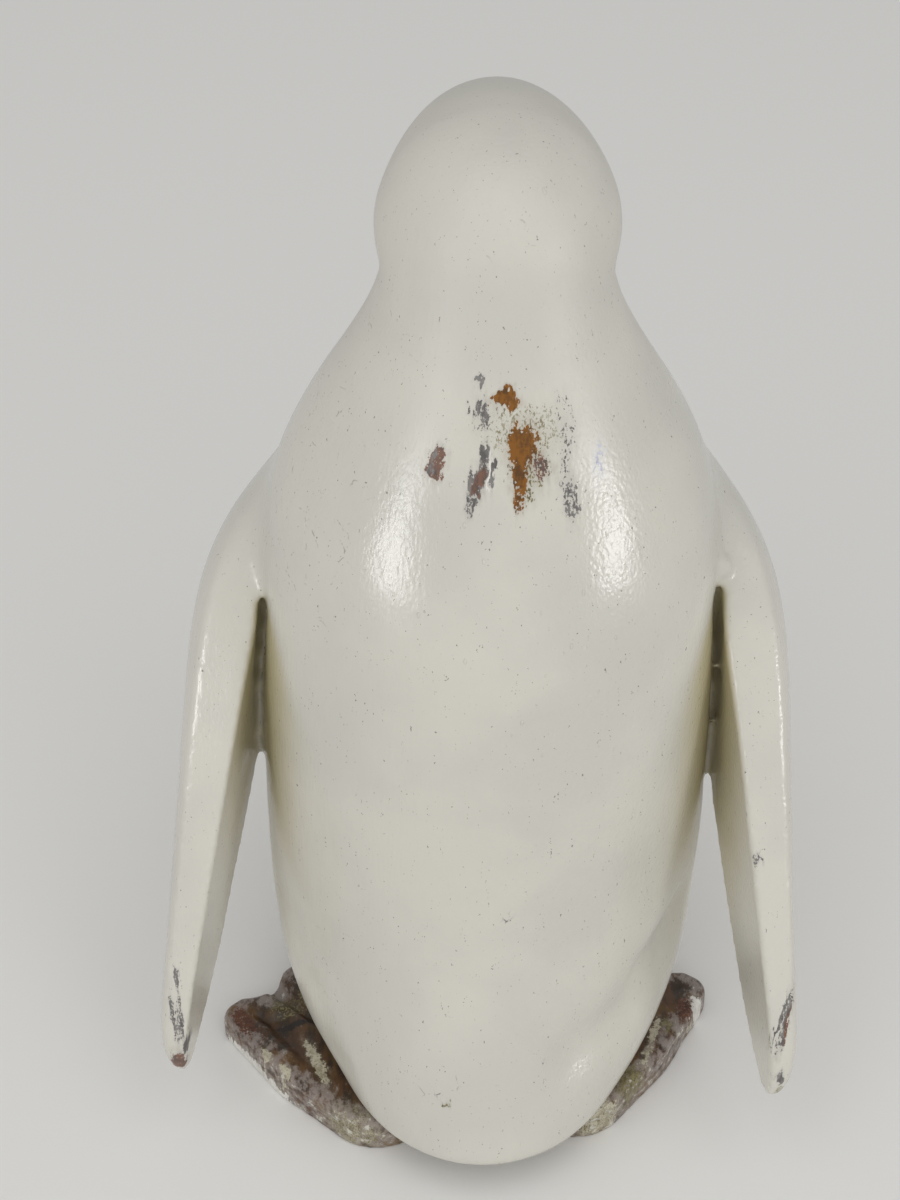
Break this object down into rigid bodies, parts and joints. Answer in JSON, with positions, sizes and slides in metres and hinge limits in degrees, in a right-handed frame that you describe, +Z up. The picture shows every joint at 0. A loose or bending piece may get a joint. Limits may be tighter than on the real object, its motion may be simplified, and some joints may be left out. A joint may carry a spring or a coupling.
{
  "type": "penguin figurine",
  "caption": "Standing carved wooden penguin with cream painted body, head and swept-back flippers on brown webbed feet, for display on a shelf.",
  "frame": {"origin": "on the floor under the middle of the whole figure's box", "axes": "+Z up, -Y to the face, +X to the figure's own left"},
  "size_m": [0.1712, 0.1524, 0.2968],
  "materials": {
    "cream_paint": "carved wood under thick glossy cream brush paint, worn through on the upper back and at the flipper tips",
    "brown_wood": "carved brown wood with rubbed remains of white paint",
    "black_bead": "polished",
    "dowel_wood": "plain turned wood"
  },
  "bodies": {
    "root": {"body": "cream_paint", "head": "cream_paint", "left_flipper": "cream_paint", "right_flipper": "cream_paint", "beak": "brown_wood", "left_foot": "brown_wood", "right_foot": "brown_wood", "left_eye": "black_bead", "right_eye": "black_bead", "neck_dowel": "dowel_wood", "left_flipper_dowels": "dowel_wood", "right_flipper_dowels": "dowel_wood", "left_foot_dowels": "dowel_wood", "right_foot_dowels": "dowel_wood"}
  },
  "joints": []
}
